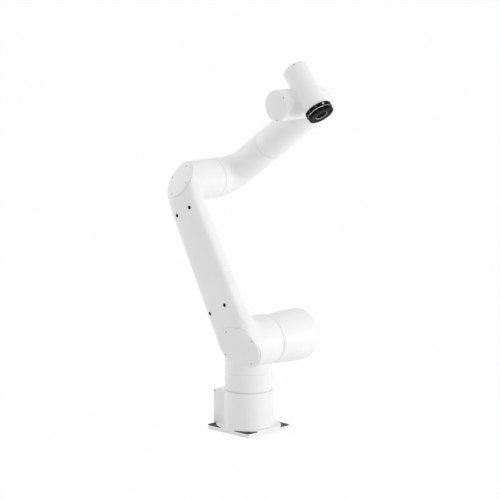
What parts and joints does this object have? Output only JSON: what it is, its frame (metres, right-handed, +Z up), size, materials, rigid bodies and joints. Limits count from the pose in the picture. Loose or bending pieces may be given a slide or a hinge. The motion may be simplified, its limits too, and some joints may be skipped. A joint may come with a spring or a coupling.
{
  "type": "industrial robot arm",
  "caption": "Jointed white robot arm on a square bolted foot, with a C-shaped lower arm, bent forearm, offset wrist and black tool flange.",
  "frame": {"origin": "middle of the foot's underside, on the first axis", "axes": "+Z up along the first axis, +X forward, the way the forearm points, +Y to its left"},
  "size_m": [0.6675, 0.3905, 1.3479],
  "materials": {
    "white_paint": "satin white powder coat",
    "seal_rubber": "matt grey seal",
    "seat_metal": "matt dark grey",
    "panel_metal": "satin grey",
    "socket_plastic": "matt black",
    "black_plastic": "fine textured black",
    "button_plastic": "glossy light grey",
    "bright_metal": "turned aluminium",
    "black_flange": "black anodised"
  },
  "bodies": {
    "base": {"base_casting": "white_paint", "corner_seats": "seat_metal", "connector_housing": "white_paint", "connector_panel": "panel_metal", "connector_sockets": "socket_plastic", "axis_1_seal": "seal_rubber"},
    "turret": {"column_sleeve": "white_paint", "shoulder_casting": "white_paint", "shoulder_end_cap": "white_paint", "axis_2_seal": "seal_rubber"},
    "lower_arm": {"lower_arm_casting": "white_paint", "lower_arm_bottom_cover": "white_paint", "lower_arm_top_cover": "white_paint", "axis_3_seal": "seal_rubber"},
    "elbow": {"elbow_casting": "white_paint", "axis_4_seal": "seal_rubber"},
    "forearm": {"forearm_casting": "white_paint", "axis_5_seal": "seal_rubber"},
    "wrist": {"wrist_casting": "white_paint", "wrist_side_disc": "white_paint", "tool_tube_cap": "white_paint", "control_ring": "black_plastic", "control_buttons": "button_plastic", "spacer_ring": "bright_metal"},
    "tool": {"tool_flange": "black_flange"}
  },
  "joints": [
    {"name": "axis_1", "type": "hinge", "parent": "base", "child": "turret", "pos_m": [0, 0, 0.146], "axis": [0, 0, 1], "range_deg": [-180, 180]},
    {"name": "axis_2", "type": "hinge", "parent": "turret", "child": "lower_arm", "pos_m": [0.188, 0, 0.364], "axis": [0, 1, 0], "range_deg": [-88.3, 141.7]},
    {"name": "axis_3", "type": "hinge", "parent": "lower_arm", "child": "elbow", "pos_m": [-0.08249, 0, 0.90181], "axis": [0, -1, 0], "range_deg": [-67.9, 192.1]},
    {"name": "axis_4", "type": "hinge", "parent": "elbow", "child": "forearm", "pos_m": [-0.08249, 0, 0.90181], "axis": [0.8231, 0, 0.5678], "range_deg": [-180, 180]},
    {"name": "axis_5", "type": "hinge", "parent": "forearm", "child": "wrist", "pos_m": [0.35213, 0, 1.20163], "axis": [0, 1, 0], "range_deg": [-180, 180]},
    {"name": "axis_6", "type": "hinge", "parent": "wrist", "child": "tool", "pos_m": [0.4125, -0.132, 1.25412], "axis": [0.6561, 0, -0.7547], "range_deg": [-270, 270]}
  ]
}
